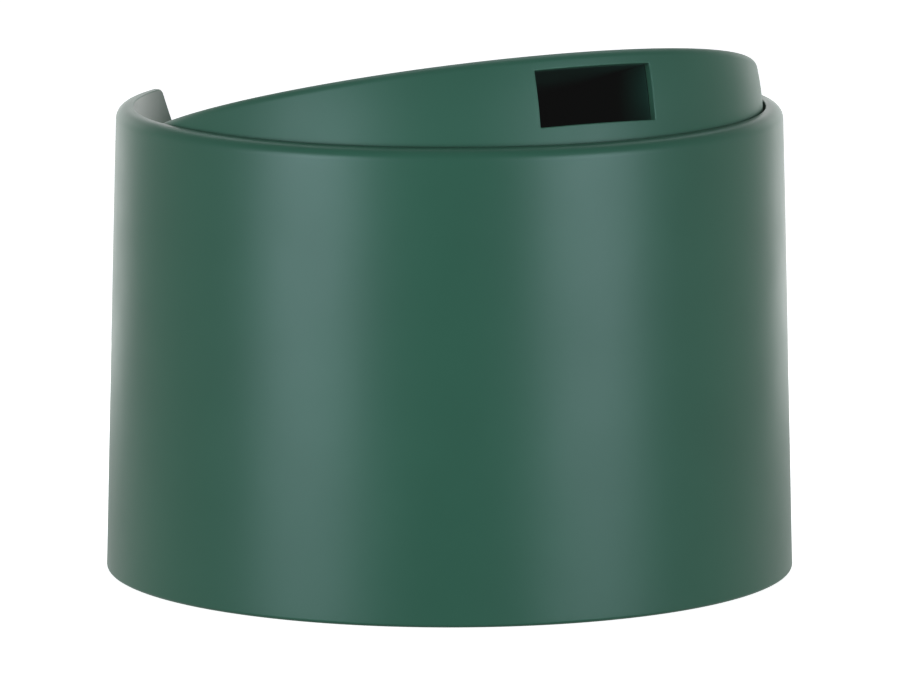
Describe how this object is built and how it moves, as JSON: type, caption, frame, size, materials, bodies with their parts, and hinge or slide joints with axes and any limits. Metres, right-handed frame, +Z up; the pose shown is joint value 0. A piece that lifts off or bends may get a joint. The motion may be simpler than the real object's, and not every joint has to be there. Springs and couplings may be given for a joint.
{
  "type": "wasp trap",
  "caption": "Round table-top wasp trap: tapered sleeve with a tilting lid that opens a side entrance, over a catch pot with a funnel and a bait cup.",
  "frame": {"origin": "centre of the foot, on the surface the trap stands on", "axes": "+Z up along the housing's axis, -Y out of the entrance, +Y through the notch in the wall, X along the lid's pivot"},
  "size_m": [0.15, 0.15, 0.1199],
  "materials": {
    "green_plastic": "satin moulded polypropylene, fine even grain",
    "dark_green_plastic": "satin moulded polypropylene",
    "clear_plastic": "clear moulded plastic",
    "black_rubber": "matt",
    "yellow_plastic": "smooth moulded plastic",
    "sponge_foam": "open-cell foam",
    "screw_steel": "bright zinc-plated"
  },
  "bodies": {
    "base": {"base_plate": "dark_green_plastic"},
    "pot": {"catch_pot": "clear_plastic", "pot_seal": "black_rubber"},
    "hood": {"housing": "green_plastic"},
    "tilting_lid": {"lid": "green_plastic", "entrance_tunnel": "dark_green_plastic", "tunnel_screw_front_left": "screw_steel", "tunnel_screw_front_right": "screw_steel", "tunnel_screw_rear_left": "screw_steel", "tunnel_screw_rear_right": "screw_steel"},
    "funnel_insert": {"funnel": "clear_plastic"},
    "cup": {"bait_cup": "yellow_plastic", "bait_sponge": "sponge_foam"},
    "cup_cap": {"bait_cup_cap": "yellow_plastic"}
  },
  "joints": [
    {"name": "lid_tilt", "type": "hinge", "parent": "hood", "child": "tilting_lid", "pos_m": [0, 0, 0.0955], "axis": [1, 0, 0], "range_deg": [0, 15.6]},
    {"name": "hood_lift", "type": "slide", "parent": "base", "child": "hood", "axis": [0, 0, 1], "range_m": [0, 0.2]},
    {"name": "pot_lift", "type": "slide", "parent": "base", "child": "pot", "axis": [0, 0, 1], "range_m": [0, 0.02]},
    {"name": "funnel_lift", "type": "slide", "parent": "pot", "child": "funnel_insert", "axis": [0, 0, 1], "range_m": [0, 0.11]},
    {"name": "cup_lift", "type": "slide", "parent": "pot", "child": "cup", "axis": [0, 0, 1], "range_m": [0, 0.055]},
    {"name": "cap_lift", "type": "slide", "parent": "cup", "child": "cup_cap", "axis": [0, 0, 1], "range_m": [0, 0.02]}
  ],
  "couplings": [
    {"joint": "pot_lift", "follows": "hood_lift", "ratio": 0.1},
    {"joint": "funnel_lift", "follows": "hood_lift", "ratio": 0.55},
    {"joint": "cup_lift", "follows": "hood_lift", "ratio": 0.275},
    {"joint": "cap_lift", "follows": "hood_lift", "ratio": 0.1}
  ]
}
